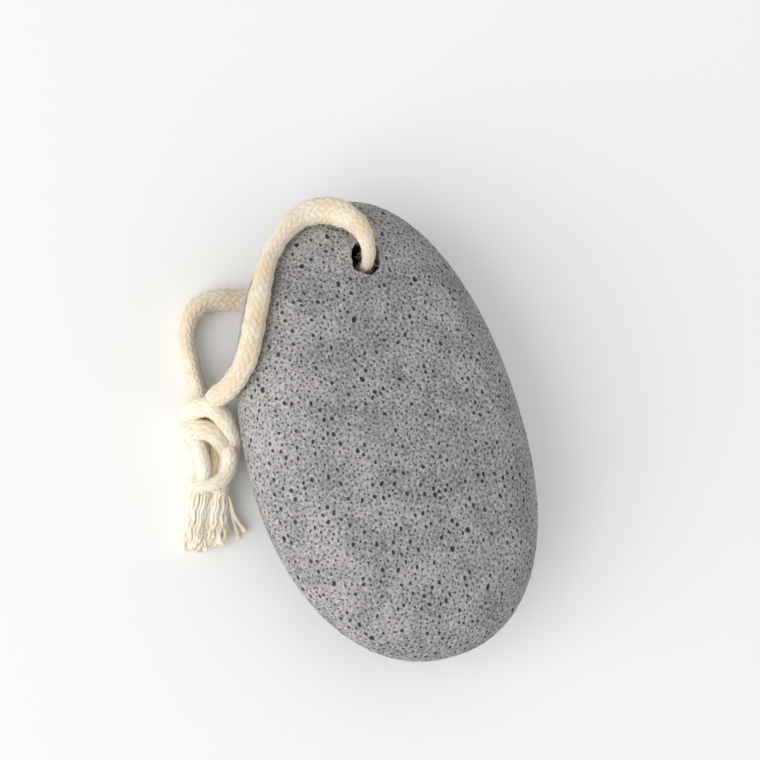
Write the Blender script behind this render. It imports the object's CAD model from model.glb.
"""The looks of a pumice stone: foamed rock with open pores, and a knotted loop of braided cotton cord.

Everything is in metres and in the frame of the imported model: +Y towards the stone's narrow end, +Z up.
Sizes that are easier to read in millimetres are written as a number of MM.
"""
from __future__ import annotations

import logging
import math
from dataclasses import dataclass, field
from enum import Enum

import bpy
import numpy as np
from mathutils import Matrix, Vector
from mathutils.geometry import delaunay_2d_cdt

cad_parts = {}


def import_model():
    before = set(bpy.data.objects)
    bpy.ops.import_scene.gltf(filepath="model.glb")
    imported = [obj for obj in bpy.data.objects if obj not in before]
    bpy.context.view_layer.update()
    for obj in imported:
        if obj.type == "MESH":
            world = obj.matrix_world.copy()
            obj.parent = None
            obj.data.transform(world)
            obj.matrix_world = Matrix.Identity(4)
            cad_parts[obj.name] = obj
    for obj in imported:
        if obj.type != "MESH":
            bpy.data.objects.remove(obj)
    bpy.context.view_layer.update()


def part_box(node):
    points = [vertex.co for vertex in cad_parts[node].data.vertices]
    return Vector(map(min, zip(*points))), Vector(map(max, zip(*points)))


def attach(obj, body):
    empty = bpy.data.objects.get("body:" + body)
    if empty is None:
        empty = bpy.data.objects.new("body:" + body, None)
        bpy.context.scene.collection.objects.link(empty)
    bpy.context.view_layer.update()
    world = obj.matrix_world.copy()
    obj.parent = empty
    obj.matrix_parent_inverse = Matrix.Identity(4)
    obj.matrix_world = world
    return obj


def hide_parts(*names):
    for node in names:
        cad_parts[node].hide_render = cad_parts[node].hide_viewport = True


MM = 0.001
TINY = 1e-12  # keeps a division off zero
CURVE_STEPS = 12  # points read between two points of a route
STEEP_CHORD, STEEP_START = 0.8, 0.9  # upward shares past which a line counts as steep
RIM_GLOOM = 0.04  # how dark a pore's rim is, from 0 to 1
PHOTO_SCALE = 4.09  # pixels of the photograph for a millimetre of the stone
LOG = logging.getLogger("pumice_stone")
Grid = np.ndarray
Place = tuple[float, float, float]
Waves = tuple[tuple[float, int, float], ...]


class Side(Enum):
    """The two sheets that the stone's skin is triangulated in."""

    FACE = "face and shoulders"
    BACK = "worn back"


class YarnLay(Enum):
    """Which way a yarn of the braid winds round the cord."""

    RIGHT = 1
    LEFT = -1


def unit(vectors: Grid) -> Grid:
    """Scale vectors to length one along the last axis."""
    return vectors / np.maximum(np.linalg.norm(vectors, axis=-1, keepdims=True), TINY)


def ripple(angle: Grid, waves: Waves) -> Grid:
    """Add up sines round a circle, each given by its height, how many fit the circle, and its phase."""
    return sum(height * np.sin(count * angle + phase) for height, count, phase in waves)


def around(reach: Grid, angle: Grid, first: Grid, second: Grid) -> Grid:
    """Give offsets round a middle: the reach times the cosine along one way, plus the sine along another.

    Args:
        reach: Distances from the middle: rows, sides.
        angle: Angles round it, row by row or the same for every row.
        first: Each row's direction at angle 0.
        second: Each row's direction at a quarter turn.

    Returns:
        The offsets, as rows, sides, then x, y and z.
    """
    return ((reach * np.cos(angle))[..., None] * first[:, None]
            + (reach * np.sin(angle))[..., None] * second[:, None])


def above_floor(points: Grid) -> Grid:
    """Raise points that are under the floor to it."""
    return np.concatenate([points[..., :2], np.maximum(points[..., 2:], 0)], -1)


def linear_colour(code: str) -> tuple[float, float, float, float]:
    """Turn an sRGB hex code into a linear colour.

    Args:
        code: Six hex digits, such as "a09f9e".

    Returns:
        Red, green, blue and alpha, linear.
    """
    parts = [int(code[start:start + 2], 16) / 255 for start in (0, 2, 4)]
    red, green, blue = (p / 12.92 if p <= 0.04045 else ((p + 0.055) / 1.055) ** 2.4 for p in parts)
    return red, green, blue, 1.0


class Skin:
    """Blocks of points and faces that become one mesh, with values kept for every point."""

    def __init__(self) -> None:
        """Start empty."""
        self.points: list[Grid] = []
        self.faces: list[Grid] = []
        self.values: dict[str, list[Grid]] = {}
        self.count = 0

    def add(self, points: Grid, faces: list[Grid], **values: Grid | float) -> int:
        """Add a block.

        Args:
            points: Places, in an array whose last axis is x, y and z.
            faces: Arrays of point numbers in the block, each with a row for every face.
            **values: For each attribute, one number for the block or one for each point.

        Returns:
            The number of the block's first point in the mesh.
        """
        first = self.count
        flat = points.reshape(-1, 3)
        self.points.append(flat)
        self.faces.extend(block + first for block in faces)
        for key, value in values.items():
            whole = np.ravel(value) if np.ndim(value) else np.full(len(flat), value)
            self.values.setdefault(key, []).append(whole)
        self.count += len(flat)
        return first

    def piece(self, name: str) -> bpy.types.Object:
        """Make the mesh.

        Args:
            name: The piece's name.

        Returns:
            The object, linked to the scene at the origin.
        """
        mesh = bpy.data.meshes.new(name)
        corners = np.concatenate([block.ravel() for block in self.faces]).astype(np.int32)
        sizes = np.concatenate([np.full(len(block), block.shape[1], np.int32) for block in self.faces])
        starts = np.concatenate([[0], np.cumsum(sizes)[:-1]]).astype(np.int32)
        mesh.vertices.add(self.count)
        mesh.vertices.foreach_set("co", np.concatenate(self.points).astype(np.float32).ravel())
        mesh.loops.add(len(corners))
        mesh.loops.foreach_set("vertex_index", corners)
        mesh.polygons.add(len(sizes))
        mesh.polygons.foreach_set("loop_start", starts)
        mesh.update(calc_edges=True)
        for key, blocks in self.values.items():
            layer = mesh.attributes.new(key, "FLOAT", "POINT")
            layer.data.foreach_set("value", np.concatenate(blocks).astype(np.float32))
        mesh.shade_smooth()
        piece = bpy.data.objects.new(name, mesh)
        bpy.context.scene.collection.objects.link(piece)
        return piece


def tube_faces(tubes: int, rings: int, sides: int) -> list[Grid]:
    """Number the faces of tubes whose points run tube by tube and ring by ring.

    Args:
        tubes: How many tubes there are.
        rings: How many rings a tube has.
        sides: How many points a ring has.

    Returns:
        The quads of the walls, then the triangles that close both ends, all facing out.
    """
    first = (np.arange(tubes) * rings * sides)[:, None, None]
    ring = first + np.arange(rings - 1)[None, :, None] * sides
    side = np.arange(sides)[None, None]
    after = (side + 1) % sides
    quads = np.stack([ring + side, ring + after, ring + sides + after, ring + sides + side], -1)
    fan = np.arange(1, sides - 1)
    start = np.stack([np.zeros_like(fan), fan + 1, fan], -1)
    end = np.stack([np.zeros_like(fan), fan, fan + 1], -1) + (rings - 1) * sides
    return [quads.reshape(-1, 4), (first + np.concatenate([start, end])[None]).reshape(-1, 3)]


def thin_tubes(lines: Grid, radii: Grid, sides: int) -> tuple[Grid, list[Grid]]:
    """Sweep many thin tubes at once.

    A ring's point is the centre, plus the radius times the cosine of its angle along one direction across
    the line, plus the sine along the other.

    Args:
        lines: Centre lines: tubes, rings, then x, y and z.
        radii: The radius at each ring: tubes, rings.
        sides: How many points a ring has.

    Returns:
        The points, as tubes, rings, sides, then x, y and z, and the faces.
    """
    ahead = unit(np.gradient(lines, axis=1))
    chord = unit(lines[:, -1:] - lines[:, :1])
    helper = np.where(np.abs(chord[..., 2:]) < STEEP_CHORD, [[[0.0, 0.0, 1.0]]], [[[1.0, 0.0, 0.0]]])
    across = unit(np.cross(ahead, helper))
    beside = np.cross(ahead, across)
    angle = np.linspace(0, 2 * math.pi, sides, endpoint=False)[:, None]
    ring = across[:, :, None] * np.cos(angle) + beside[:, :, None] * np.sin(angle)
    return lines[:, :, None] + radii[:, :, None, None] * ring, tube_faces(*lines.shape[:2], sides)


def carried_frames(line: Grid) -> tuple[Grid, Grid, Grid]:
    """Carry a frame along a line so that it never twists about it.

    Args:
        line: Points along the line, n by 3.

    Returns:
        The line's direction and two directions across it, each n by 3.
    """
    ahead = unit(np.gradient(line, axis=0))
    across = np.empty_like(line)
    start = np.array([0.0, 0.0, 1.0] if abs(ahead[0, 2]) < STEEP_START else [1.0, 0.0, 0.0])
    across[0] = unit(start - ahead[0] * (start @ ahead[0]))
    for index in range(1, len(line)):
        kept = across[index - 1] - ahead[index] * (across[index - 1] @ ahead[index])
        across[index] = kept / np.linalg.norm(kept)
    return ahead, across, np.cross(ahead, across)


def smooth_route(points: Grid, count: int) -> Grid:
    """Read evenly spaced points from the smooth curve through a route's points.

    Args:
        points: The route's own points, n by 3.
        count: How many points to read.

    Returns:
        The points read, count by 3. Between two points the curve is the cubic whose end slopes are half
        the way from the point before to the point after.
    """
    ends = np.vstack([2 * points[0] - points[1], points, 2 * points[-1] - points[-2]])
    share = np.linspace(0, 1, CURVE_STEPS, endpoint=False)[:, None]
    pieces = []
    for before, start, end, after in zip(ends, ends[1:], ends[2:], ends[3:]):
        straight = end - before
        bend = 2 * before - 5 * start + 4 * end - after
        twist = 3 * start - before - 3 * end + after
        pieces.append(start + (straight * share + bend * share ** 2 + twist * share ** 3) / 2)
    fine = np.vstack(pieces + [points[-1:]])
    run = np.concatenate([[0], np.cumsum(np.linalg.norm(np.diff(fine, axis=0), axis=1))])
    stops = np.linspace(0, run[-1], count)
    return np.stack([np.interp(stops, run, fine[:, axis]) for axis in range(3)], axis=1)


def line_length(line: Grid) -> float:
    """Measure a line of points."""
    return float(np.linalg.norm(np.diff(line, axis=0), axis=1).sum())


class NodeCanvas:
    """A material's node tree, with one way to add a node, set it and link it."""

    def __init__(self, name: str) -> None:
        """Start a material with only its output."""
        self.material = bpy.data.materials.new(name)
        self.material.use_nodes = True
        self.tree = self.material.node_tree
        self.tree.nodes.clear()

    def add(self, kind: str, settings: dict | None = None, **sockets) -> bpy.types.Node:
        """Add a node.

        Args:
            kind: The node's type, such as "ShaderNodeTexNoise".
            settings: Values for the node's own properties.
            **sockets: Values for inputs by name, with _ for a space. A tuple of a node and an output name
                makes a link.

        Returns:
            The node.
        """
        node = self.tree.nodes.new(kind)
        for key, value in (settings or {}).items():
            setattr(node, key, value)
        for key, value in sockets.items():
            wanted = key.replace("_", " ")
            if wanted.startswith("in "):
                socket = node.inputs[int(wanted[3:])]
            else:
                socket = next(s for s in node.inputs if s.name == wanted and s.enabled)
            if isinstance(value, tuple) and isinstance(value[0], bpy.types.Node):
                self.tree.links.new(value[0].outputs[value[1]], socket)
            else:
                socket.default_value = value
        return node

    def ramp(self, source: tuple, stops: list[tuple[float, tuple]]) -> bpy.types.Node:
        """Add a colour ramp that reads a source.

        Args:
            source: A node and the name of its output.
            stops: Places from 0 to 1, each with its colour.

        Returns:
            The ramp's node.
        """
        node = self.add("ShaderNodeValToRGB", Fac=source)
        while len(node.color_ramp.elements) < len(stops):
            node.color_ramp.elements.new(0.5)
        for element, (place, colour) in zip(node.color_ramp.elements, stops):
            element.position = place
            element.color = colour
        return node


@dataclass(frozen=True)
class Pumice:
    """Foamed volcanic glass, sawn and rubbed: matt, pale grey on its struts and dark down in its pores.

    The eye reads it by its hard-edged holes, so the walls darken with depth. Glass has an IOR of 1.5.
    """

    strut: str = "b7b4b3"
    strut_dark: str = "7b7979"
    pore_floor: str = "474547"
    roughness: float = 0.93
    ior: float = 1.5
    grain_size: float = 0.75 * MM
    fleck_size: float = 0.9 * MM
    cloud_size: float = 9 * MM
    cloud_share: float = 0.45
    tone_stops: tuple[float, float] = (0.54, 0.88)
    fleck_stops: tuple[float, float] = (0.12, 0.42)
    fleck_shade: float = 0.4
    fleck_share: float = 0.8
    deep_gloom: float = 0.42
    deep_share: float = 0.92
    bubble_share: float = 0.8
    bump_height: float = 0.35 * MM

    def material(self) -> bpy.types.Material:
        """Build the finish: cloudy greys, tiny closed bubbles as specks and bump, darker pores."""
        canvas = NodeCanvas("foamed_pumice")
        place = canvas.add("ShaderNodeTexCoord")
        grain = canvas.add("ShaderNodeTexNoise", Vector=(place, "Object"), Scale=1 / self.grain_size,
                           Detail=3.0, Roughness=0.55)
        cloud = canvas.add("ShaderNodeTexNoise", Vector=(place, "Object"), Scale=1 / self.cloud_size,
                           Detail=3.0, Roughness=0.5)
        bubbles = canvas.add("ShaderNodeTexVoronoi", {"feature": "F1"}, Vector=(place, "Object"),
                             Scale=1 / self.fleck_size, Randomness=1.0)
        tone = canvas.add("ShaderNodeMath", {"operation": "MULTIPLY_ADD"}, in_0=(cloud, "Fac"),
                          in_1=self.cloud_share, in_2=(grain, "Fac"))
        greys = canvas.ramp((tone, "Value"), [(self.tone_stops[0], linear_colour(self.strut_dark)),
                                              (self.tone_stops[1], linear_colour(self.strut))])
        specks = canvas.ramp((bubbles, "Distance"), [(self.fleck_stops[0], (*[self.fleck_shade] * 3, 1)),
                                                     (self.fleck_stops[1], (1, 1, 1, 1))])
        speckled = canvas.add("ShaderNodeMix", {"data_type": "RGBA", "blend_type": "MULTIPLY"},
                              in_0=self.fleck_share, in_6=(greys, "Color"), in_7=(specks, "Color"))
        pore = canvas.add("ShaderNodeAttribute", {"attribute_name": "pore"})
        deep = canvas.add("ShaderNodeMapRange", Value=(pore, "Fac"), From_Min=RIM_GLOOM,
                          From_Max=self.deep_gloom, To_Max=self.deep_share)
        skin = canvas.add("ShaderNodeMix", {"data_type": "RGBA"}, in_0=(deep, "Result"),
                          in_6=(speckled, "Result"), in_7=linear_colour(self.pore_floor))
        height = canvas.add("ShaderNodeMath", {"operation": "MULTIPLY_ADD"}, in_0=(bubbles, "Distance"),
                            in_1=self.bubble_share, in_2=(grain, "Fac"))
        bump = canvas.add("ShaderNodeBump", Strength=0.55, Distance=self.bump_height,
                          Height=(height, "Value"))
        shader = canvas.add("ShaderNodeBsdfPrincipled", Base_Color=(skin, "Result"),
                            Normal=(bump, "Normal"), Roughness=self.roughness, IOR=self.ior)
        canvas.add("ShaderNodeOutputMaterial", Surface=(shader, "BSDF"))
        return canvas.material


@dataclass(frozen=True)
class Cotton:
    """Unbleached cotton yarn, loosely twisted: warm white and soft, with the fibres' sheen at grazing angles.

    The braid is creamier. Where the yarns are pulled and teased open, as in a knot, they look whiter.
    """

    name: str = "braided_cotton"
    crown: str = "eee2ce"
    crease: str = "c8ab80"
    tint: str = "f6efe2"
    roughness: float = 0.88
    ior: float = 1.53
    sheen: float = 0.3
    scatter: float = 0.15
    scatter_depth: float = 0.2 * MM
    fibre_size: float = 0.2 * MM
    fibre_share: float = 0.45
    level_stops: tuple[float, float] = (0.15, 0.8)
    tint_size: float = 5 * MM
    tint_stops: tuple[float, float] = (0.38, 0.62)
    twist_share: float = 0.3
    bump_height: float = 0.12 * MM

    def material(self) -> bpy.types.Material:
        """Build the finish: warm white on the yarns' backs, tan in the creases, with twist lines and fibres.

        It reads two attributes: crown, from 0 in a crease to 1 on a yarn's back, and ply, the phase of the
        twist lines.
        """
        canvas = NodeCanvas(self.name)
        place = canvas.add("ShaderNodeTexCoord")
        fibre = canvas.add("ShaderNodeTexNoise", Vector=(place, "Object"), Scale=1 / self.fibre_size,
                           Detail=3.0, Roughness=0.6)
        tint = canvas.add("ShaderNodeTexNoise", Vector=(place, "Object"), Scale=1 / self.tint_size,
                          Detail=2.0)
        crown = canvas.add("ShaderNodeAttribute", {"attribute_name": "crown"})
        level = canvas.add("ShaderNodeMath", {"operation": "MULTIPLY_ADD"}, in_0=(fibre, "Fac"),
                           in_1=self.fibre_share, in_2=(crown, "Fac"))
        warm = canvas.ramp((level, "Value"), [(self.level_stops[0], linear_colour(self.crease)),
                                              (self.level_stops[1], linear_colour(self.crown))])
        shade = canvas.ramp((tint, "Fac"), [(self.tint_stops[0], linear_colour(self.tint)),
                                            (self.tint_stops[1], (1, 1, 1, 1))])
        colour = canvas.add("ShaderNodeMix", {"data_type": "RGBA", "blend_type": "MULTIPLY"}, in_0=1.0,
                            in_6=(warm, "Color"), in_7=(shade, "Color"))
        ply = canvas.add("ShaderNodeAttribute", {"attribute_name": "ply"})
        twist = canvas.add("ShaderNodeMath", {"operation": "SINE"}, in_0=(ply, "Fac"))
        height = canvas.add("ShaderNodeMath", {"operation": "MULTIPLY_ADD"}, in_0=(twist, "Value"),
                            in_1=self.twist_share, in_2=(fibre, "Fac"))
        bump = canvas.add("ShaderNodeBump", Strength=0.6, Distance=self.bump_height,
                          Height=(height, "Value"))
        shader = canvas.add("ShaderNodeBsdfPrincipled", Base_Color=(colour, "Result"),
                            Normal=(bump, "Normal"), Roughness=self.roughness, IOR=self.ior,
                            Sheen_Weight=self.sheen, Subsurface_Weight=self.scatter,
                            Subsurface_Radius=(1.0, 0.8, 0.6), Subsurface_Scale=self.scatter_depth)
        canvas.add("ShaderNodeOutputMaterial", Surface=(shader, "BSDF"))
        return canvas.material


@dataclass(frozen=True)
class PoreClass:
    """One size range of the pores.

    Args:
        count: How many pores are tried for.
        small: The least radius.
        large: The greatest radius.
        sides: How many points the mouth has.
        rings: Each ring below the mouth: its radius and its depth, in radii of the pore.
        floor: The depth of the pore's floor, in radii.
        gloom: How dark the floor is, from 0 to 1.
    """

    count: int
    small: float
    large: float
    sides: int
    rings: tuple[tuple[float, float], ...]
    floor: float
    gloom: float


@dataclass(frozen=True)
class Mouth:
    """The edge of one mouth of the hole.

    Args:
        back_off: How far it stands back from the hole's oval all round.
        chips: The waves of its chips, in chip heights.
        worn: Its broken or worn places: how far back, at what angle, and over what angle.
    """

    back_off: float
    chips: Waves
    worn: tuple[tuple[float, float, float], ...]


@dataclass
class Stone:
    """The stone: an egg-shaped superellipse in plan, with quarter-ellipse shoulders and a nearly flat face.

    Its back is crowned and worn flat in the middle. Its length and thickness come from the frame.
    """

    length: float
    thickness: float
    width: float = 71 * MM
    edge_height: float = 18 * MM
    power: float = 2.15
    egg: float = 0.077
    bend: float = 1.9 * MM
    run: float = 12.5 * MM
    face_along: float = 260 * MM
    face_across: float = 156 * MM
    back_slope: float = 0.27
    back_round: float = 20 * MM
    back_faster: float = 1.2
    back_worn: float = 0.9 * MM
    hole_x: float = 2.4 * MM
    hole_y: float = 40.6 * MM
    hole_half_width: float = 3.3 * MM
    hole_half_length: float = 4.0 * MM
    hole_sides: int = 84
    hole_rings: int = 22
    hole_rough: float = 0.16 * MM
    hole_smooth: float = 0.8
    hole_gloom: tuple[float, ...] = (0.1, 0.5, 0.5, 0.1)
    hole_gloom_at: tuple[float, ...] = (0, 0.12, 0.88, 1)
    mouth_reach: tuple[float, float] = (0.10, 0.14)
    chip_height: float = 0.3 * MM
    cord_room: float = 3.0 * MM
    cord_push: float = 1.15
    seam_points: int = 330
    seam_slope_mean: float = -math.pi / 2 + 0.17
    seam_wave: float = 0.04
    seam_waves: Waves = ((1.0, 17, 1.0), (0.7, 29, 2.5))
    sheet_reach: float = 40 * MM
    rim_tries: int = 480
    batch: int = 8000
    tries_each: int = 9
    area_percentile: int = 98
    small_bias: float = 1.2
    pore_cell: float = 2.9 * MM
    pore_gap: float = 0.07 * MM
    seam_room: tuple[float, float] = (1.5, 0.25 * MM)
    hole_room: tuple[float, float] = (1.35, 0.3 * MM)
    shallowest: float = 0.35
    ring_gloom: tuple[float, float] = (0.1, 0.8)
    pore_seed: int = 41
    pore_stretch: float = 0.3
    pore_lean: float = 0.45
    pore_ragged: float = 0.13
    ragged_shares: tuple[float, float] = (0.55, 0.45)
    corner_shift: float = 0.12
    ring_shift: float = 0.05
    lump_height: float = 0.04 * MM
    merge_distance: float = 1e-6
    sharp_angle: float = math.radians(38)
    face_mouth: Mouth = Mouth(0.25 * MM, ((0.22, 7, 0.4), (0.2, 13, 2.0), (0.16, 23, 0.0)),
                              ((0.7 * MM, 3.6, 0.3), (0.8 * MM, 0.6, 0.5)))
    back_mouth: Mouth = Mouth(0.5 * MM, ((0.2, 6, 1.4), (0.2, 15, 0.0), (0.15, 25, 1.0)),
                              ((2.7 * MM, math.pi, 0.75),))
    pores: tuple[PoreClass, ...] = (
        PoreClass(70, 0.58 * MM, 0.8 * MM, 11, ((0.98, 0.35), (0.75, 0.85)), 1.15, 1.0),
        PoreClass(900, 0.44 * MM, 0.58 * MM, 9, ((0.85, 0.5),), 1.0, 1.0),
        PoreClass(5900, 0.32 * MM, 0.44 * MM, 7, (), 1.0, 1.0),
        PoreClass(4200, 0.22 * MM, 0.32 * MM, 5, (), 0.9, 0.8),
    )

    def edge(self, turn: Grid) -> tuple[Grid, Grid]:
        """Give x and y of the edge: a superellipse, narrower as y grows, bent by the square of y.

        Args:
            turn: Angles round the middle.

        Returns:
            The edge's x and y at those angles.
        """
        sine, cosine = np.sin(turn), np.cos(turn)
        along = np.sign(sine) * np.abs(sine) ** (2 / self.power)
        across = np.sign(cosine) * np.abs(cosine) ** (2 / self.power)
        x = self.width / 2 * across * (1 - self.egg * along) + self.bend * along ** 2
        return x, self.length / 2 * along

    def rim(self, turn: Grid) -> tuple[Grid, Grid, Grid, Grid]:
        """Give the rim of the face, one shoulder's run inside the edge.

        Args:
            turn: Angles round the middle.

        Returns:
            The rim's x and y, and the x and y of the outward direction there.
        """
        step = 1e-4
        x, y = self.edge(turn)
        x_after, y_after = self.edge(turn + step)
        x_before, y_before = self.edge(turn - step)
        reach = np.hypot(x_after - x_before, y_after - y_before)
        out_x = (y_after - y_before) / reach
        out_y = (x_before - x_after) / reach
        return x - self.run * out_x, y - self.run * out_y, out_x, out_y

    def face_height(self, x: Grid, y: Grid) -> Grid:
        """Give the face's height: the thickness less a shallow paraboloid."""
        return self.thickness - y ** 2 / (2 * self.face_along) - x ** 2 / (2 * self.face_across)

    def back_height(self, x: Grid, y: Grid) -> Grid:
        """Give the back's height: a round-tipped cone with its tip worn off flat at zero."""
        reach = np.sqrt(y ** 2 + (self.back_faster * x) ** 2 + self.back_round ** 2)
        return np.maximum(0, self.back_slope * (reach - self.back_round) - self.back_worn)

    def shoulder(self, turn: Grid, slope: Grid) -> Grid:
        """Give places on the shoulder: a quarter ellipse from the edge up to the face and down to the back.

        Args:
            turn: Angles round the middle.
            slope: Angles up the shoulder: a quarter turn at the face's rim, 0 at the edge, less below.

        Returns:
            Places, with the last axis for x, y and z.
        """
        rim_x, rim_y, out_x, out_y = self.rim(turn)
        x = rim_x + self.run * np.cos(slope) * out_x
        y = rim_y + self.run * np.cos(slope) * out_y
        up = self.face_height(x, y) - self.edge_height
        down = self.edge_height - self.back_height(x, y)
        return np.stack([x, y, self.edge_height + np.where(slope > 0, up, down) * np.sin(slope)], -1)

    def seam_slope(self, turn: Grid) -> Grid:
        """Give the slope of the wavy seam between the two sheets, low on the back of the shoulder."""
        return self.seam_slope_mean + self.seam_wave * ripple(turn, self.seam_waves)

    def nearest_turn(self, x: Grid, y: Grid) -> Grid:
        """Find the nearest point of the rim: the best of many, then two Newton steps.

        Args:
            x: Places across the stone.
            y: Places along it.

        Returns:
            The turns of the nearest points.
        """
        turns = np.linspace(0, 2 * math.pi, self.rim_tries, endpoint=False)
        rim_x, rim_y, _, _ = self.rim(turns)
        best = np.empty(len(x))
        for start in range(0, len(x), self.batch):
            part = slice(start, start + self.batch)
            away = (x[part, None] - rim_x) ** 2 + (y[part, None] - rim_y) ** 2
            best[part] = turns[np.argmin(away, axis=1)]
        step, longest, huge = 2e-3, 0.02, 1e9
        for _ in range(2):
            here_x, here_y, _, _ = self.rim(best)
            on_x, on_y, _, _ = self.rim(best + step)
            off_x, off_y, _, _ = self.rim(best - step)
            speed_x, speed_y = (on_x - off_x) / (2 * step), (on_y - off_y) / (2 * step)
            turn_x = (on_x - 2 * here_x + off_x) / step ** 2
            turn_y = (on_y - 2 * here_y + off_y) / step ** 2
            miss = (x - here_x) * speed_x + (y - here_y) * speed_y
            rate = speed_x ** 2 + speed_y ** 2 - (x - here_x) * turn_x - (y - here_y) * turn_y
            best = best + np.clip(miss / np.where(rate > TINY, rate, huge), -longest, longest)
        return best

    def locate(self, places: Grid) -> tuple[Grid, Grid, Grid]:
        """Drop places near the skin on to it.

        Args:
            places: Places near the skin, n by 3.

        Returns:
            The turns of the nearest rim points, the slopes, and the places on the skin. Inside the rim the
            slope goes on growing past a quarter turn by one radian for each shoulder's run.
        """
        x, y, z = places.T
        turn = self.nearest_turn(x, y)
        rim_x, rim_y, out_x, out_y = self.rim(turn)
        beyond = (x - rim_x) * out_x + (y - rim_y) * out_y
        upper = z > self.edge_height
        up = self.face_height(x, y) - self.edge_height
        down = self.edge_height - self.back_height(x, y)
        rise = (z - self.edge_height) / np.where(upper, up, down)
        slope = np.arctan2(rise, np.maximum(beyond, 0) / self.run)
        inside = beyond <= 0
        flat = np.where(upper, 1, -1) * (math.pi / 2 - beyond / self.run)
        slope = np.where(inside, flat, slope)
        on_shoulder = self.shoulder(turn, np.clip(slope, -math.pi / 2, math.pi / 2))
        height = np.where(upper, self.face_height(x, y), self.back_height(x, y))
        skin = np.where(inside[:, None], np.stack([x, y, height], -1), on_shoulder)
        return turn, slope, skin

    def chart(self, turn: Grid, slope: Grid, skin: Grid, side: Side) -> Grid:
        """Lay places of the skin flat.

        Args:
            turn: The turns that locate gives.
            slope: The slopes that locate gives.
            skin: The places on the skin.
            side: Which sheet. The back's is the plan; the other is the plan inside the rim, and the shoulder
                unrolled outwards round it.

        Returns:
            Two coordinates for each place, in millimetres.
        """
        if side is Side.BACK:
            return skin[:, :2] / MM
        rim_x, rim_y, out_x, out_y = self.rim(turn)
        out = self.sheet_reach * (math.pi / 2 - slope) / math.pi
        unrolled = np.stack([rim_x + out * out_x, rim_y + out * out_y], -1)
        return np.where((slope >= math.pi / 2)[:, None], skin[:, :2], unrolled) / MM

    def normal(self, skin: Grid) -> Grid:
        """Give the outward direction at places on the skin, from the cross of two short spans of it.

        Args:
            skin: The places, n by 3.

        Returns:
            Directions of length one, n by 3.
        """
        step, steeper = 0.05 * MM, 2.5
        middle = np.array([0.0, 0.0, self.edge_height])
        out = unit((skin - middle) * np.array([1.0, 1.0, steeper]))
        first = unit(np.cross(out, np.array([0.0, 1.0, 0.1])))
        second = np.cross(out, first)
        spans = []
        for way in (first, second):
            ahead = self.locate(skin + way * step)[2]
            behind = self.locate(skin - way * step)[2]
            spans.append(ahead - behind)
        return unit(np.cross(spans[0], spans[1]))

    def random_skin(self, rng: np.random.Generator, count: int) -> Grid:
        """Choose places spread evenly over the whole skin, by trying turns and lifts against their area.

        Args:
            rng: Where the places come from.
            count: How many places are tried.

        Returns:
            The places that are kept, in the order of trying.
        """
        turn = rng.uniform(0, 2 * math.pi, count)
        lift = rng.uniform(-1, 1, count)

        def skin(turns: Grid, lifts: Grid) -> Grid:
            """Give the skin at a lift of 1 in the middle of the face, 0 at the edge and -1 under it."""
            slopes = np.clip(2 * lifts, -1, 1) * math.pi / 2
            places = self.shoulder(turns, slopes)
            share = np.minimum(1, 2 - 2 * np.abs(lifts))
            x, y = places[:, 0] * share, places[:, 1] * share
            flat = np.where(lifts > 0, self.face_height(x, y), self.back_height(x, y))
            return np.where((np.abs(lifts) > 0.5)[:, None], np.stack([x, y, flat], -1), places)

        step = 1e-3
        lift = np.clip(lift, -1 + step, 1 - step)
        along = skin(turn + step, lift) - skin(turn - step, lift)
        upward = skin(turn, lift + step) - skin(turn, lift - step)
        area = np.linalg.norm(np.cross(along, upward), axis=-1)
        kept = rng.uniform(0, 1, count) < area / np.percentile(area, self.area_percentile)
        return skin(turn[kept], lift[kept])

    def oval(self, angle: Grid) -> Grid:
        """Give the reach of the hole's oval from its middle at angles round it."""
        wide, long = self.hole_half_width, self.hole_half_length
        return wide * long / np.sqrt((long * np.cos(angle)) ** 2 + (wide * np.sin(angle)) ** 2)

    def hole_reach(self, angle: Grid, side: Side) -> Grid:
        """Give the hole's mouth as a reach from its middle: the oval, with chips and bell-shaped worn places.

        Args:
            angle: Angles round the hole, from 0 to a full turn.
            side: Which mouth. The back's is worn wide on the side that the cord bends over.

        Returns:
            The reach in each direction.
        """
        mouth = self.face_mouth if side is Side.FACE else self.back_mouth
        reach = self.oval(angle) + mouth.back_off + self.chip_height * ripple(angle, mouth.chips)
        for depth, place, spread in mouth.worn:
            reach = reach + depth * np.exp(-(((angle - place) / spread) ** 2))
        return reach

    def mouth(self, side: Side) -> Grid:
        """Lay one mouth of the hole on the skin.

        Args:
            side: Which mouth.

        Returns:
            Its places, once round.
        """
        angle = np.linspace(0, 2 * math.pi, self.hole_sides, endpoint=False)
        reach = self.hole_reach(angle, side)
        x = self.hole_x + reach * np.cos(angle)
        y = self.hole_y + reach * np.sin(angle)
        turn = self.nearest_turn(x, y)
        rim_x, rim_y, out_x, out_y = self.rim(turn)
        beyond = (x - rim_x) * out_x + (y - rim_y) * out_y
        slope = np.arccos(np.clip(beyond / self.run, 0, 1))
        height = self.face_height(x, y)
        if side is Side.BACK:
            slope = -slope
            height = self.back_height(x, y)
        on_shoulder = self.shoulder(turn, slope)
        return np.where((beyond <= 0)[:, None], np.stack([x, y, height], -1), on_shoulder)

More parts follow.
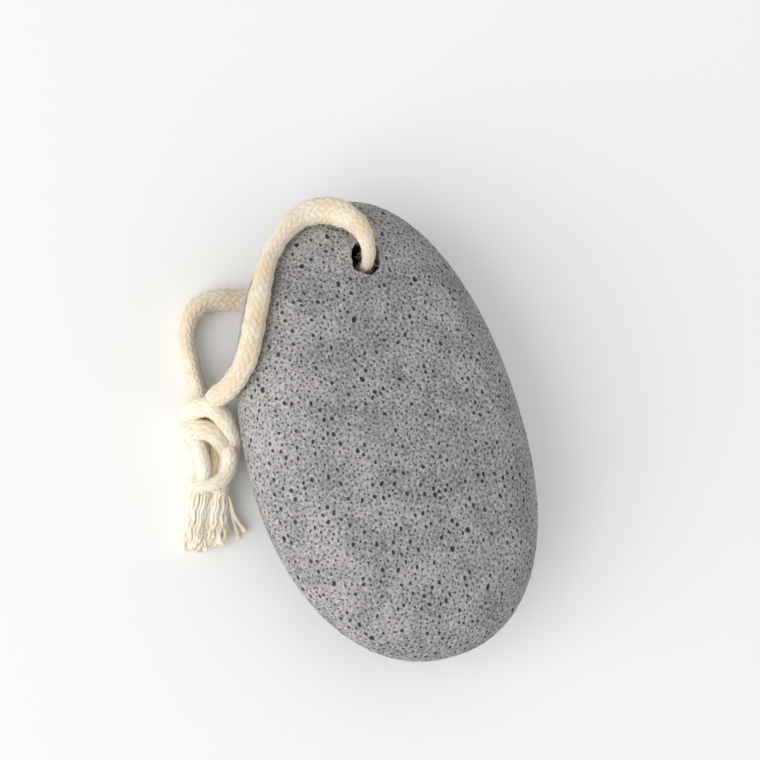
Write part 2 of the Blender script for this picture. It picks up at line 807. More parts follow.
    def throw_pores(self) -> list[tuple[PoreClass, Grid, Grid, Grid]]:
        """Choose the pores, largest first, so that none comes too near another, the seam or the hole.

        Returns:
            For each size range, the places, the radii and the shares by which the mouths are longer.
        """
        rng = np.random.default_rng(self.pore_seed)
        taken: dict[tuple[int, int, int], list[tuple[float, float, float, float]]] = {}
        made = []
        for size in self.pores:
            places = self.random_skin(rng, size.count * self.tries_each)
            turn, slope, places = self.locate(places)
            share = rng.uniform(0, 1, len(places)) ** self.small_bias
            radii = size.small + (size.large - size.small) * share
            stretches = rng.uniform(0, self.pore_stretch, len(places))
            seam_gap = np.abs(slope - self.seam_slope(turn)) * self.run
            angle = np.arctan2(places[:, 1] - self.hole_y, places[:, 0] - self.hole_x)
            hole_gap = np.hypot(places[:, 0] - self.hole_x, places[:, 1] - self.hole_y)
            upper = places[:, 2] > self.edge_height
            reach = np.where(upper, self.hole_reach(angle % (2 * math.pi), Side.FACE),
                             self.hole_reach(angle % (2 * math.pi), Side.BACK))
            free = ((seam_gap > radii * self.seam_room[0] + self.seam_room[1])
                    & (hole_gap > reach + radii * self.hole_room[0] + self.hole_room[1]))
            chosen = []
            for index in np.flatnonzero(free):
                place = places[index]
                radius = radii[index] * (1 + stretches[index]) * (1 + self.pore_ragged)
                key = tuple(int(v) for v in np.floor(place / self.pore_cell))
                near = [other for dx in (-1, 0, 1) for dy in (-1, 0, 1) for dz in (-1, 0, 1)
                        for other in taken.get((key[0] + dx, key[1] + dy, key[2] + dz), ())]
                if all(math.dist(place, other[:3]) > radius + other[3] + self.pore_gap for other in near):
                    taken.setdefault(key, []).append((*place, radius))
                    chosen.append(index)
                if len(chosen) == size.count:
                    break
            LOG.info("%d pores of %d sides", len(chosen), size.sides)
            made.append((size, places[chosen], radii[chosen], stretches[chosen]))
        return made

    def build(self, cord_line: Grid) -> bpy.types.Object:
        """Build the stone's skin with every pore and the hole.

        Args:
            cord_line: The cord's centre line, which the hole's wall keeps clear of.

        Returns:
            The stone's piece.
        """
        rng = np.random.default_rng(self.pore_seed + 1)
        skin = Skin()
        loops: dict[Side, list[tuple[Grid, Grid]]] = {side: [] for side in Side}
        seam_turn = np.linspace(0, 2 * math.pi, self.seam_points, endpoint=False)
        seam_slope = self.seam_slope(seam_turn)
        seam = self.shoulder(seam_turn, seam_slope)
        numbers = skin.add(seam, [], pore=0.0) + np.arange(len(seam))
        for side in Side:
            loops[side].append((numbers, self.chart(seam_turn, seam_slope, seam, side)))
        mouths = {}
        for side in Side:
            mouth = self.mouth(side)
            numbers = skin.add(mouth, [], pore=self.hole_gloom[0]) + np.arange(len(mouth))
            turn, slope, _ = self.locate(mouth)
            loops[side].append((numbers, self.chart(turn, slope, mouth, side)))
            mouths[side] = (numbers, mouth)
        self.hole_wall(skin, mouths, cord_line, rng)
        for size, places, radii, stretches in self.throw_pores():
            self.add_pores(skin, loops, size, places, radii, stretches, rng)
        for side in Side:
            skin.faces.append(self.sheet(side, loops[side]))
        piece = skin.piece("pumice")
        piece.data.set_sharp_from_angle(angle=self.sharp_angle)
        return piece

    def add_pores(self, skin: Skin, loops: dict[Side, list[tuple[Grid, Grid]]], size: PoreClass,
                  places: Grid, radii: Grid, stretches: Grid, rng: np.random.Generator) -> None:
        """Add the pores of one size range: a ragged mouth on the skin, rings below it and a floor.

        A mouth's reach is the radius, longer along the stone, with three lobes and some roughness. A ring is
        the mouth shrunk towards its middle and sunk along the normal.

        Args:
            skin: The mesh, which this adds to.
            loops: The mouths' numbers and flat places on each sheet, which this adds to.
            size: The size range.
            places: The pores' middles on the skin.
            radii: Their radii.
            stretches: The shares by which they are longer than wide.
            rng: Where the roughness comes from.
        """
        turn, slope, middle = self.locate(places)
        out = self.normal(middle)
        upper = slope > self.seam_slope(turn)
        first = unit(np.cross(np.array([1.0, 0.02, 0.03]), out))
        second = np.cross(out, first)
        shape = (len(radii), size.sides)
        even = np.linspace(0, 2 * math.pi, size.sides, endpoint=False)
        angle = even + rng.uniform(-self.corner_shift, self.corner_shift, shape)
        lean = rng.normal(0, self.pore_lean, (len(radii), 1))
        lobes = np.cos(3 * angle + rng.uniform(0, 2 * math.pi, (len(radii), 1)))
        lobe_share, corner_share = self.ragged_shares
        ragged = 1 + self.pore_ragged * (lobe_share * lobes + corner_share * rng.uniform(-1, 1, shape))
        reach = radii[:, None] * ragged * (1 + stretches[:, None] * np.cos(2 * (angle - lean)))
        corners = middle[:, None] + around(reach, angle, first, second)
        turn, slope, mouth = self.locate(corners.reshape(-1, 3))
        numbers = skin.count + np.arange(mouth.shape[0]).reshape(shape)
        for side, here in ((Side.FACE, upper), (Side.BACK, ~upper)):
            flat = self.chart(turn, slope, mouth, side).reshape(*shape, 2)
            loops[side].extend(zip(numbers[here], flat[here]))
        mouth = mouth.reshape(*shape, 3)
        lumps = rng.normal(0, self.lump_height, shape)[..., None] * out[:, None]
        skin.add(above_floor(mouth + lumps), [], pore=RIM_GLOOM)
        deep = np.ones(len(radii)) if size.rings else rng.uniform(self.shallowest, 1.0, len(radii))
        last = numbers
        for share, depth in size.rings:
            ring = (middle[:, None] + (mouth - middle[:, None]) * share
                    - (radii * depth)[:, None, None] * out[:, None])
            ring = ring + rng.normal(0, self.ring_shift, ring.shape) * radii[:, None, None]
            below = skin.count + np.arange(numbers.size).reshape(shape)
            skin.add(ring, [], pore=size.gloom * min(1.0, self.ring_gloom[0] + self.ring_gloom[1] * depth))
            skin.faces.append(np.stack([last, np.roll(last, -1, axis=1), np.roll(below, -1, axis=1), below],
                                       -1).reshape(-1, 4))
            last = below
        floor = np.broadcast_to(skin.count + np.arange(len(radii))[:, None], shape)
        skin.add(middle - (radii * deep * size.floor)[:, None] * out, [], pore=size.gloom * deep)
        skin.faces.append(np.stack([last, np.roll(last, -1, axis=1), floor], -1).reshape(-1, 3))

    def hole_wall(self, skin: Skin, mouths: dict[Side, tuple[Grid, Grid]], cord_line: Grid,
                  rng: np.random.Generator) -> None:
        """Add the hole's wall: rings that blend one mouth into the other, rough, and pushed off the cord.

        Each mouth's shape fades with an exponential of the distance from it, and the oval takes over.

        Args:
            skin: The mesh, which this adds to.
            mouths: Each mouth's point numbers and places.
            cord_line: The cord's centre line.
            rng: Where the roughness comes from.
        """
        face_numbers, face_mouth = mouths[Side.FACE]
        back_numbers, back_mouth = mouths[Side.BACK]
        angle = np.linspace(0, 2 * math.pi, self.hole_sides, endpoint=False)
        oval = self.oval(angle)
        bore = np.stack([self.hole_x + oval * np.cos(angle), self.hole_y + oval * np.sin(angle)], -1)
        share = np.linspace(0, 1, self.hole_rings + 2)[1:-1, None, None]
        straight = face_mouth * (1 - share) + back_mouth * share
        near_face = np.exp(-share / self.mouth_reach[0])
        near_back = np.exp(-(1 - share) / self.mouth_reach[1])
        weight = near_face + near_back
        plan = near_face * face_mouth[None, :, :2] + near_back * back_mouth[None, :, :2]
        plan = (plan + np.maximum(0, 1 - weight) * bore) / np.maximum(1, weight)
        wall = np.concatenate([plan, straight[..., 2:]], -1)
        middle = np.array([self.hole_x, self.hole_y])
        rough = rng.normal(0, self.hole_rough, wall.shape[:2] + (1,))
        rough = (rough + np.roll(rough, 1, axis=1) + np.roll(rough, 1, axis=0)) * self.hole_smooth
        wall[..., :2] += unit(wall[..., :2] - middle) * rough
        flat = wall.reshape(-1, 3)
        away = flat[:, None] - cord_line[None]
        nearest = np.argmin(np.linalg.norm(away, axis=-1), axis=1)
        off = away[np.arange(len(flat)), nearest]
        gap = np.linalg.norm(off, axis=-1)
        push = np.maximum(0, self.cord_room - gap)
        outward = unit(flat[:, :2] - middle)
        flat[:, :2] += outward * (push * self.cord_push)[:, None]
        shade = np.interp(share.ravel(), self.hole_gloom_at, self.hole_gloom)
        first = skin.add(flat, [], pore=np.repeat(shade, self.hole_sides))
        numbers = first + np.arange(len(flat)).reshape(self.hole_rings, self.hole_sides)
        rows = np.concatenate([face_numbers[None], numbers, back_numbers[None]])
        after = np.roll(rows, -1, axis=1)
        skin.faces.append(np.stack([rows[:-1], after[:-1], after[1:], rows[1:]], -1).reshape(-1, 4))

    def sheet(self, side: Side, loops: list[tuple[Grid, Grid]]) -> Grid:
        """Fill one sheet of the skin between its seam, the hole and the pores' mouths.

        Args:
            side: Which sheet.
            loops: Point numbers and flat places of the seam, then of the hole, then of each pore.

        Returns:
            Triangles, facing out. A triangle whose corners are all in one loop turns the same way as the loop
            if it lies within it. It is kept if it is within the seam, or in a dent of a mouth's edge.
        """
        numbers = np.concatenate([loop[0] for loop in loops])
        flat = np.concatenate([loop[1] for loop in loops])
        owner = np.concatenate([np.full(len(loop[0]), index) for index, loop in enumerate(loops)])
        starts = np.cumsum([0] + [len(loop[0]) for loop in loops])
        edges = []
        for start, end in zip(starts[:-1], starts[1:]):
            ring = np.arange(start, end)
            edges.append(np.stack([ring, np.roll(ring, -1)], -1))
        edges = np.concatenate(edges)
        found = delaunay_2d_cdt(flat.tolist(), edges.tolist(), [], 0, self.merge_distance)
        if len(found[0]) != len(flat):
            LOG.warning("%s: %d mouths crossed", side.value, len(found[0]) - len(flat))
        source = np.array([group[0] if group else -1 for group in found[3]])
        triangles = np.sort(source[np.array(found[2])], axis=1)
        triangles = triangles[triangles[:, 0] >= 0]
        a, b, c = (flat[triangles[:, index]] for index in range(3))
        turned = np.cross(b - a, c - a) > 0
        senses = np.array([np.cross(loop[1], np.roll(loop[1], -1, axis=0)).sum() > 0 for loop in loops])
        owners = owner[triangles]
        same = (owners[:, 0] == owners[:, 1]) & (owners[:, 1] == owners[:, 2])
        within = turned == senses[owners[:, 0]]
        kept = ~same | (within == (owners[:, 0] == 0))
        triangles, turned = triangles[kept], turned[kept]
        wanted = turned if side is Side.FACE else ~turned
        triangles[~wanted] = triangles[~wanted][:, ::-1]
        return numbers[triangles]


@dataclass(frozen=True)
class Braid:
    """A round braid of cotton yarns, each over two and under two of the other lay."""

    diameter: float = 5.5 * MM
    yarns: int = 10
    yarn_lead: float = 2.05 * MM
    relief: float = 0.22 * MM
    weave_lift: float = 0.15 * MM
    back_width: float = 0.96
    crease_depth: float = 0.2
    ply_twist: float = 1.6

    def yarn_relief(self, angle: Grid, run: Grid) -> tuple[Grid, Grid, Grid]:
        """Give the relief: the higher of a right-hand and a left-hand set of round yarns.

        A yarn's height is a half circle across it, raised where it goes over two of the other set and lowered
        where it goes under two.

        Args:
            angle: Angles round the cord.
            run: Distances along it.

        Returns:
            The height in metres, the crown from 0 in a crease to 1 on a yarn's back, and the phase of the
            twist lines of the yarn on top.
        """
        best = np.full(np.broadcast(angle, run).shape, -1.0)
        phase = np.zeros_like(best)
        for lay in YarnLay:
            own = self.yarns * angle / (2 * math.pi) + lay.value * run / self.yarn_lead
            other = self.yarns * angle / (2 * math.pi) - lay.value * run / self.yarn_lead
            number = np.round(own)
            offset = 2 * (own - number)
            round_back = np.sqrt(np.maximum(0, 1 - (self.back_width * offset) ** 2))
            over = lay.value * math.sqrt(2) * np.cos(math.pi / 2 * (number + other) - math.pi / 4)
            height = round_back * self.relief + np.clip(over, -1, 1) * self.weave_lift
            on_top = height > best
            best = np.where(on_top, height, best)
            phase = np.where(on_top, 2 * math.pi * (other * self.ply_twist + offset), phase)
        low, high = -self.weave_lift * self.crease_depth, self.relief + self.weave_lift
        return best, np.clip((best - low) / (high - low), 0, 1), phase

    def sweep(self, skin: Skin, line: Grid, widths: Grid, thicknesses: Grid, facing: Grid, sides: int,
              light: float = 1.0) -> Grid:
        """Sweep the braid along a line and add it to a mesh.

        Args:
            skin: The mesh, which this adds to.
            line: The centre line.
            widths: How wide the braid is at each point of it.
            thicknesses: How thick it is, in the direction that it faces.
            facing: The direction that its flat side faces, as nearly as the line lets it.
            sides: How many points a ring has.
            light: A factor on the crown, less than 1 for a strand that has kept the cord's darker inside.

        Returns:
            The points, as rings, sides, then x, y and z.
        """
        ahead, across, beside = carried_frames(line)
        run = np.concatenate([[0], np.cumsum(np.linalg.norm(np.diff(line, axis=0), axis=1))])
        angle = np.linspace(0, 2 * math.pi, sides, endpoint=False)
        height, crown, phase = self.yarn_relief(angle[None], run[:, None])
        reach = self.diameter / 2 - self.relief - self.weave_lift + height
        offset = around(reach, angle, across, beside)
        thin = unit(facing - ahead * (ahead @ facing)[:, None])
        wide = np.cross(ahead, thin)
        shape = np.zeros_like(offset)
        for way, size in ((thin, thicknesses), (wide, widths)):
            share = np.einsum("rsk,rk->rs", offset, way) * (size / self.diameter)[:, None]
            shape += share[..., None] * way[:, None]
        points = line[:, None] + shape
        skin.add(points, tube_faces(1, len(line), sides), crown=crown * light, ply=phase)
        return points


@dataclass
class Fluff:
    """The short loose fibres that stand off cotton cord: thin curved tubes rooted on its surface."""

    shortest: float = 0.4 * MM
    longest: float = 1.7 * MM
    radius: float = 0.02 * MM
    rings: int = 5
    sides: int = 3
    lean: float = 0.55
    curl: float = 0.5
    rise: float = 0.04 * MM
    tip_share: float = 0.4
    crown: float = 0.9
    seed: int = 7
    lines: list[Grid] = field(default_factory=list)

    def root(self, points: Grid, centres: Grid, count: int) -> None:
        """Root fibres on a tube's surface.

        A fibre leaves along the way out of the tube, leans at random and curls with the square of its length.

        Args:
            points: The tube's points: rings, sides, then x, y and z.
            centres: The centre of each ring.
            count: How many fibres to root.
        """
        rng = np.random.default_rng(self.seed + len(self.lines))
        ring = rng.integers(0, points.shape[0], count)
        side = rng.integers(0, points.shape[1], count)
        start = points[ring, side]
        out = unit(unit(start - centres[ring]) + self.lean * rng.normal(0, 1, (count, 3)))
        turn = rng.normal(0, self.curl, (count, 3))
        length = self.shortest + (self.longest - self.shortest) * rng.uniform(0, 1, (count, 1, 1)) ** 2
        share = np.linspace(0, 1, self.rings)[None, :, None]
        line = start[:, None] + length * (share * out[:, None] + share ** 2 * turn[:, None])
        line[..., 2] = np.maximum(line[..., 2], self.rise)
        self.lines.append(line)

    def build(self) -> bpy.types.Object:
        """Build the fibres as one piece."""
        lines = np.concatenate(self.lines)
        taper = np.linspace(1, self.tip_share, self.rings) * self.radius
        points, faces = thin_tubes(lines, np.broadcast_to(taper, lines.shape[:2]), self.sides)
        skin = Skin()
        skin.add(points, faces, crown=self.crown, ply=0.0)
        return skin.piece("loose_fibres")


@dataclass(frozen=True)
class Cord:
    """The cord's loop, from the knot through the hole and back: one length of braid.

    Its route is the part's, chosen by hand, in millimetres. The braid is flat where it is free and pinched
    where it bends into the hole.
    """

    braid: Braid = Braid()
    sides: int = 80
    step: float = 0.24 * MM
    rough_points: int = 400
    facing: Place = (-0.375, -0.081, 0.924)
    fibres: int = 3600
    unevenness: float = 0.045
    uneven_waves: tuple[tuple[float, float], ...] = ((1.1 * MM, 0.0), (0.67 * MM, 2.0))
    route: tuple[Place, ...] = (
        (-37.3, 15.9, 8.8), (-37.5, 17.2, 11.0), (-37.7, 17.9, 13.8), (-37.5, 18.0, 17.0),
        (-36.0, 18.9, 21.3), (-33.0, 22.3, 25.5), (-30.4, 26.9, 27.3), (-26.0, 36.0, 27.8),
        (-23.6, 40.4, 27.6), (-21.4, 44.1, 27.1), (-18.8, 47.5, 26.7), (-15.9, 50.3, 26.6),
        (-12.6, 52.7, 26.8), (-9.2, 54.3, 27.2), (-5.8, 54.7, 28.3), (-2.5, 53.8, 29.9),
        (0.1, 51.4, 32.0), (1.8, 48.3, 33.7), (2.5, 45.2, 34.3), (2.8, 42.2, 33.4),
        (2.9, 39.9, 31.1), (2.9, 38.7, 27.8), (2.8, 38.3, 23.6), (2.7, 38.9, 18.6),
        (2.6, 39.6, 14.0), (2.4, 40.3, 10.6), (1.6, 40.7, 7.5), (-0.5, 41.0, 4.9),
        (-3.6, 41.0, 3.4), (-8.0, 40.8, 3.0), (-14.0, 40.2, 3.0), (-20.0, 40.8, 3.0),
        (-24.8, 41.9, 3.0), (-28.8, 42.4, 3.0), (-32.3, 41.6, 3.0), (-35.0, 39.4, 3.0),
        (-36.8, 36.1, 3.0), (-37.6, 31.7, 3.0), (-37.8, 21.0, 3.0), (-38.3, 15.2, 3.1),
    )
    sizes: tuple[tuple[int, float, float], ...] = (
        (0, 5.0, 5.0), (4, 5.4, 5.0), (7, 5.5, 4.9), (8, 5.0, 4.8), (9, 4.5, 4.8), (11, 4.6, 4.8),
        (12, 5.0, 4.8), (13, 5.8, 4.8), (15, 7.0, 4.9), (16, 6.3, 4.7), (17, 5.2, 4.5), (18, 4.2, 4.4),
        (19, 3.5, 4.2), (20, 3.1, 4.0), (21, 3.2, 4.0), (23, 4.4, 4.6), (26, 5.2, 4.9), (29, 5.6, 5.1),
        (34, 5.3, 5.2), (35, 4.6, 5.3), (36, 3.9, 5.4), (38, 3.7, 5.4), (39, 4.2, 5.3),
    )

    def line(self) -> Grid:
        """Give the centre line as evenly spaced points."""
        points = np.array(self.route) * MM
        rough = smooth_route(points, self.rough_points)
        return smooth_route(points, int(line_length(rough) / self.step))

    def build(self, line: Grid, fluff: Fluff) -> bpy.types.Object:
        """Build the loop.

        Args:
            line: The centre line.
            fluff: The loose fibres, which this roots more of.

        Returns:
            The piece. Its width and thickness run evenly between the route points that sizes names, and the
            width also wavers by two sines of the distance along it.
        """
        numbers, widths, thicknesses = np.array(self.sizes).T
        stops = np.array(self.route)[numbers.astype(int)] * MM
        near = np.argmin(np.linalg.norm(line[None] - stops[:, None], axis=-1), axis=1)
        place = np.arange(len(line))
        run = place * self.step
        waver = sum(np.sin(run / length + phase) for length, phase in self.uneven_waves)
        uneven = 1 + self.unevenness * waver / 2
        skin = Skin()
        points = self.braid.sweep(skin, line, np.interp(place, near, widths) * MM * uneven,
                                  np.interp(place, near, thicknesses) * MM, np.array(self.facing), self.sides)
        fluff.root(points, line, self.fibres)
        return skin.piece("braided_cord")


@dataclass(frozen=True)
class KnotFrame:
    """The knot's own directions: across it, along it from its top to its tail, and up, all in millimetres."""

    top: tuple[float, float] = (-37.6, 14.6)
    tail: tuple[float, float] = (-42.6, -5.0)

    def place(self, local: Grid) -> Grid:
        """Turn places across, along and above into places in the frame, in metres."""
        top = np.array([*self.top, 0.0])
        along = unit(np.array([*self.tail, 0.0]) - top)
        across = np.array([-along[1], along[0], 0.0])
        return (top + local @ np.stack([across, along, [0.0, 0.0, 1.0]])) * MM


@dataclass(frozen=True)
class Strand:
    """One strand of the knot.

    Args:
        size: Its diameter where its route starts.
        end_size: Its diameter where its route ends.
        light: A factor on the crown of its braid.
        route: Places across, along and above, in the knot's frame.
    """

    size: float
    end_size: float
    light: float
    route: tuple[Place, ...]


@dataclass(frozen=True)
class Knot:
    """The overhand knot that ties both strands of the loop.

    Two turns lie aslant over its top, the upper one over the strand that comes down from the hole. Below them
    a thin and a thick strand leave a narrow slot, and the thick one ends across the tail.
    """

    braid: Braid = Braid()
    frame: KnotFrame = KnotFrame()
    sides: int = 56
    step: float = 0.3 * MM
    facing: Place = (0.01, 0.02, 1.0)
    fibres: int = 260
    strands: tuple[Strand, ...] = (
        Strand(5.0 * MM, 5.0 * MM, 1.0, (
            (-0.3, -2.4, 10.6), (0.0, -1.3, 8.8), (0.9, 0.2, 6.6), (2.3, 2.9, 4.8), (3.2, 6.8, 4.0),
            (3.1, 11.3, 3.9), (2.4, 15.9, 4.1), (1.8, 19.3, 4.2),
        )),
        Strand(4.9 * MM, 4.9 * MM, 1.0, (
            (-0.5, -3.4, 3.1), (-0.8, -0.4, 3.1), (-1.0, 3.6, 3.1), (-0.8, 7.8, 3.1), (-0.7, 12.4, 3.2),
            (-1.1, 16.4, 3.5), (-2.2, 19.6, 3.9),
        )),
        Strand(5.2 * MM, 4.4 * MM, 1.0, (
            (-3.6, 0.4, 3.1), (-5.0, -0.1, 5.2), (-5.3, -0.6, 8.4), (-4.3, -0.9, 11.4), (-2.1, -0.7, 12.8),
            (0.3, 0.7, 12.6), (2.5, 2.8, 11.0), (4.2, 4.8, 8.8), (5.2, 6.7, 6.3), (5.6, 8.7, 4.2),
            (5.2, 11.1, 3.1),
        )),
        Strand(5.6 * MM, 4.6 * MM, 1.0, (
            (-3.0, 4.6, 3.1), (-4.8, 4.3, 4.6), (-4.9, 4.0, 7.0), (-3.5, 3.9, 8.7), (-1.2, 4.5, 9.2),
            (1.0, 5.8, 8.4), (2.6, 7.3, 6.2), (3.2, 9.2, 4.2),
        )),
        Strand(3.8 * MM, 3.4 * MM, 1.0, (
            (-3.9, 5.6, 5.8), (-3.3, 8.5, 6.6), (-2.6, 11.0, 6.8), (-2.3, 13.5, 6.6), (-2.2, 16.1, 5.2),
            (-2.5, 18.7, 3.4),
        )),
        Strand(3.2 * MM, 3.2 * MM, 0.2, (
            (1.3, 5.8, 5.0), (1.0, 8.7, 5.0), (0.5, 11.5, 5.0), (0.0, 14.4, 5.0), (-0.3, 17.4, 4.6),
        )),
        Strand(5.2 * MM, 3.0 * MM, 1.0, (
            (2.7, 3.0, 3.6), (3.6, 5.8, 5.2), (4.1, 8.6, 6.6), (4.2, 11.2, 7.0), (3.7, 13.6, 7.0),
            (2.3, 15.7, 6.9), (0.0, 16.9, 6.5), (-2.2, 17.1, 5.8), (-3.4, 16.8, 4.4), (-3.4, 16.2, 2.6),
        )),
    )

    def build(self, fluff: Fluff) -> bpy.types.Object:
        """Build the knot.

        Args:
            fluff: The loose fibres, which this roots more of.

        Returns:
            The piece.
        """
        skin = Skin()
        for strand in self.strands:
            route = self.frame.place(np.array(strand.route))
            line = smooth_route(route, int(line_length(route) / self.step))
            size = np.linspace(strand.size, strand.end_size, len(line))
            points = self.braid.sweep(skin, line, size, size, np.array(self.facing), self.sides, strand.light)
            fluff.root(points, line, self.fibres)
        return skin.piece("tied_knot")


@dataclass(frozen=True)
class FrayedEnd:
    """One end of the cord, unravelled into its yarns: wavy, spreading from the knot's tail over the floor.

    Args:
        name: The piece's name.
        start: Where it leaves the knot: across, along and above, in the knot's frame.
        end: Where its yarns stop.
        seed: What its waves are chosen from.
        strays: Routes of single yarns that stand away, in the knot's frame.
    """

    name: str
    start: Place
    end: Place
    seed: int
    strays: tuple[tuple[Place, ...], ...] = ()
    frame: KnotFrame = KnotFrame()
    yarns: int = 105
    rings: int = 40
    sides: int = 6
    radius: float = 0.39 * MM
    size_range: tuple[float, float] = (0.85, 1.2)
    stray_radius: float = 0.46 * MM
    tip_swell: float = 0.45
    stray_swell: float = 0.9
    tip_round: tuple[float, float] = (0.85, 0.5)
    start_half: tuple[float, float] = (2.7, 2.1)
    end_half: tuple[float, float] = (3.3, 2.0)
    angle_spread: float = 0.15
    length_range: tuple[float, float] = (0.86, 1.03)
    drop: float = 4.0
    wave: float = 0.26
    wave_start: float = 0.3
    wave_flatness: float = 0.6
    wave_length: float = 4.6
    wave_range: tuple[float, float] = (0.7, 1.3)
    turn: float = 0.6
    crown_low: float = 0.5
    crown_rise: float = 0.5
    ply_pitch: float = 0.7
    fibres_each: int = 5

    def length(self) -> float:
        """Measure from the knot to where the yarns stop, in millimetres."""
        return float(np.linalg.norm(np.array(self.end) - np.array(self.start)))

    def lines(self, rng: np.random.Generator) -> tuple[Grid, Grid]:
        """Lay the yarns.

        A yarn keeps its place in the bundle's oval, which widens, turns a little and falls to the floor, and
        it waves by a sine in two directions, more towards its tip.

        Args:
            rng: Where the places, waves and lengths come from.

        Returns:
            The centre lines in metres, and how high each yarn lies in the bundle, from 0 to 1.
        """
        number = np.arange(self.yarns)
        reach = np.sqrt((number + 0.5) / self.yarns)
        angle = number * math.pi * (3 - math.sqrt(5)) + rng.normal(0, self.angle_spread, self.yarns)
        share = np.linspace(0, 1, self.rings)[None] * rng.uniform(*self.length_range, (self.yarns, 1))
        start, end = np.array(self.start), np.array(self.end)
        turned = angle[:, None] + self.turn * share
        centre = start + share[..., None] * (end - start)
        fall = 1 - np.exp(-self.drop * share)
        centre[..., 2] = start[2] + (end[2] - start[2]) * fall
        half = [first + (last - first) * share for first, last in zip(self.start_half, self.end_half)]
        across = reach[:, None] * np.cos(turned) * half[0]
        above = reach[:, None] * np.sin(turned) * half[1]
        phases = rng.uniform(0, 2 * math.pi, (2, self.yarns, 1))
        wave_length = self.wave_length * rng.uniform(*self.wave_range, (self.yarns, 1))
        grown = self.wave * (self.wave_start + share)
        waves = 2 * math.pi * share * self.length() / wave_length
        across = across + grown * np.sin(waves + phases[0])
        above = above + self.wave_flatness * grown * np.sin(waves + phases[1])
        local = centre + np.stack([across, np.zeros_like(across), above], -1)
        lowest = self.radius / MM * self.size_range[1] * (1 + self.tip_swell)
        local[..., 2] = np.maximum(local[..., 2], lowest)
        return self.frame.place(local), (1 + reach * np.sin(angle)) / 2

    def build(self, fluff: Fluff) -> bpy.types.Object:
        """Build the end.

        Args:
            fluff: The loose fibres, which this roots more of.

        Returns:
            The piece.
        """
        rng = np.random.default_rng(self.seed)
        lines, heights = self.lines(rng)
        for stray in self.strays:
            line = smooth_route(self.frame.place(np.array(stray)), self.rings)
            lines = np.concatenate([lines, line[None]])
            heights = np.append(heights, 1.0)
        strays = len(self.strays)
        sizes = rng.uniform(*self.size_range, self.yarns) * self.radius
        sizes = np.append(sizes, [self.stray_radius] * strays)
        swells = np.append([self.tip_swell] * self.yarns, [self.stray_swell] * strays)
        last_quarter = np.clip(np.linspace(-3, 1, self.rings), 0, 1)
        radii = sizes[:, None] * (1 + swells[:, None] * last_quarter)
        radii[:, -2:] *= self.tip_round
        points, faces = thin_tubes(lines, radii, self.sides)
        run = np.linspace(0, 1, self.rings)[None, :, None] * self.length()
        side = np.arange(self.sides)[None, None] / self.sides
        phase = 2 * math.pi * (run / self.ply_pitch + side) + np.zeros(points.shape[:3])
        crown = (self.crown_low + self.crown_rise * heights)[:, None, None] + np.zeros(points.shape[:3])
        skin = Skin()
        skin.add(points, faces, crown=crown, ply=phase)
        fluff.root(points.reshape(-1, self.sides, 3), lines.reshape(-1, 3), self.fibres_each * len(lines))
        return skin.piece(self.name)


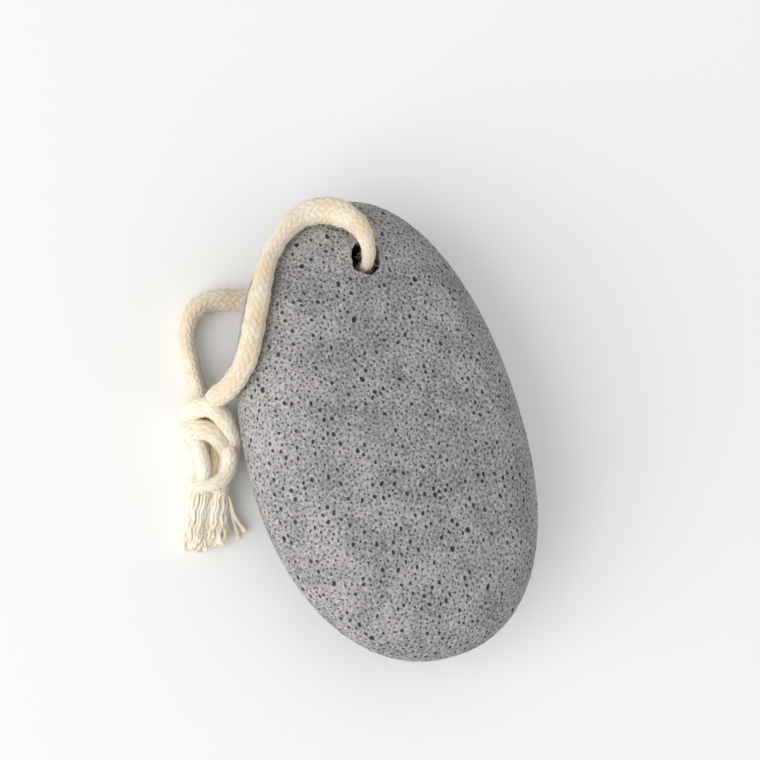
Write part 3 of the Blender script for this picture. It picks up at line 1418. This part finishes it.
@dataclass(frozen=True)
class Studio:
    """The pale floor, soft light and camera.

    The camera looks from the photograph's angle: 22 degrees over the stone's left side, 5 degrees over its
    wide end, and rolled so that the stone leans.
    """

    distance: float = 600 * MM
    tilt_left: float = math.radians(22)
    tilt_wide_end: float = math.radians(5)
    roll: float = math.radians(-15.5)
    frame_width: float = 760 / PHOTO_SCALE * MM
    middle_right: float = 6.2 / PHOTO_SCALE * MM
    middle_below: float = 49.7 / PHOTO_SCALE * MM
    watched: Place = (0.95 * MM, 0.0, 18 * MM)
    sensor: float = 36.0
    clip: tuple[float, float] = (10 * MM, 5.0)
    floor_colour: str = "fdfdfc"
    floor_roughness: float = 0.9
    floor_half: float = 3.0
    key_place: Place = (-1.9, -0.25, 1.12)
    key_size: float = 2.0
    key_power: float = 40.0
    sky_strength: float = 0.62

    def directions(self) -> tuple[Grid, Grid, Grid]:
        """Give the directions right, up and back of the camera."""
        left, wide = self.tilt_left, self.tilt_wide_end
        back = np.array([-math.sin(left), -math.sin(wide) * math.cos(left), math.cos(wide) * math.cos(left)])
        level = unit(np.cross(np.array([0.0, 1.0, 0.0]), back))
        upright = np.cross(back, level)
        right = level * math.cos(self.roll) + upright * math.sin(self.roll)
        up = upright * math.cos(self.roll) - level * math.sin(self.roll)
        return right, up, back

    def camera(self) -> None:
        """Add the camera, aimed so that the stone falls where the photograph has it."""
        right, up, back = self.directions()
        aim = np.array(self.watched) - right * self.middle_right + up * self.middle_below
        data = bpy.data.cameras.new("camera")
        data.sensor_width = self.sensor
        data.lens = self.sensor * self.distance / self.frame_width
        data.clip_start, data.clip_end = self.clip
        camera = bpy.data.objects.new("camera", data)
        place = aim + back * self.distance
        turned = np.vstack([np.column_stack([right, up, back, place]), [0, 0, 0, 1]])
        camera.matrix_world = Matrix(turned.tolist())
        bpy.context.scene.collection.objects.link(camera)
        bpy.context.scene.camera = camera

    def light(self, name: str, place: Place, size: float, power: float) -> None:
        """Add one soft square light that faces the stone.

        Args:
            name: The light's name.
            place: Where it is.
            size: The length of its sides.
            power: Its power in watts.
        """
        data = bpy.data.lights.new(name, "AREA")
        data.shape = "SQUARE"
        data.size = size
        data.energy = power
        lamp = bpy.data.objects.new(name, data)
        lamp.location = place
        away = Vector(place) - Vector(self.watched)
        lamp.rotation_mode = "QUATERNION"
        lamp.rotation_quaternion = away.to_track_quat("Z", "Y")
        bpy.context.scene.collection.objects.link(lamp)

    def build(self) -> None:
        """Add the floor, the light and the sky."""
        mesh = bpy.data.meshes.new("floor")
        half = self.floor_half
        corners = [(-half, -half, 0), (half, -half, 0), (half, half, 0), (-half, half, 0)]
        mesh.from_pydata(corners, [], [(0, 1, 2, 3)])
        floor = bpy.data.objects.new("floor", mesh)
        bpy.context.scene.collection.objects.link(floor)
        canvas = NodeCanvas("floor_card")
        shader = canvas.add("ShaderNodeBsdfPrincipled", Base_Color=linear_colour(self.floor_colour),
                            Roughness=self.floor_roughness)
        canvas.add("ShaderNodeOutputMaterial", Surface=(shader, "BSDF"))
        mesh.materials.append(canvas.material)
        self.light("key", self.key_place, self.key_size, self.key_power)
        world = bpy.data.worlds.new("studio")
        world.use_nodes = True
        sky = world.node_tree.nodes["Background"]
        sky.inputs["Color"].default_value = (1, 1, 1, 1)
        sky.inputs["Strength"].default_value = self.sky_strength
        bpy.context.scene.world = world
        bpy.context.scene.view_settings.view_transform = "Standard"


def dress(piece: bpy.types.Object, material: bpy.types.Material, slot: str, *nodes: str) -> None:
    """Give a piece its finish and its place in the frame.

    Args:
        piece: The piece.
        material: Its finish.
        slot: The record's slot that the finish stands for.
        *nodes: The nodes of the part that the piece stands for.
    """
    piece.data.materials.append(material)
    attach(piece, "root")
    if nodes:
        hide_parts(*nodes)
    LOG.info("%s: %d points, %d faces", piece.name, len(piece.data.vertices), len(piece.data.polygons))


def main() -> None:
    """Build the pieces in order."""
    logging.basicConfig(level=logging.INFO, format="%(message)s")
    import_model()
    studio = Studio()
    studio.camera()
    cord = Cord()
    line = cord.line()
    pumice = Pumice().material()
    cotton = Cotton().material()
    teased = Cotton("teased_cotton", crown="fdf5e6", crease="debf94").material()
    fluff = Fluff()

    loop = cord.build(line, fluff)
    dress(loop, cotton, "cotton", "cord")
    dress(Knot().build(fluff), teased, "cotton", "knot")
    ends = (
        FrayedEnd("frayed_yarns_left", (-2.2, 16.4, 4.2), (-3.8, 32.6, 2.4), 5),
        FrayedEnd("frayed_yarns_right", (1.7, 16.2, 4.2), (1.1, 31.2, 2.4), 6, strays=(
            ((2.6, 17.0, 4.0), (4.6, 19.7, 3.8), (5.3, 21.7, 3.6), (6.1, 23.8, 3.0), (7.5, 25.7, 2.2),
             (8.8, 27.0, 1.5), (9.6, 27.8, 1.1)),
            ((2.2, 17.0, 3.6), (4.4, 19.8, 3.2), (5.2, 22.2, 2.9), (5.8, 24.1, 2.5), (6.7, 26.5, 1.8),
             (7.3, 28.1, 1.3), (7.7, 29.6, 1.0)),
        )),
    )
    for end, node in zip(ends, ("frayed_end_left", "frayed_end_right")):
        dress(end.build(fluff), teased, "cotton", node)
    dress(fluff.build(), cotton, "cotton")

    low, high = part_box("stone")
    stone = Stone(length=high.y - low.y, thickness=high.z - low.z)
    dress(stone.build(line), pumice, "pumice", "stone")

    studio.build()


if __name__ == "__main__":
    main()
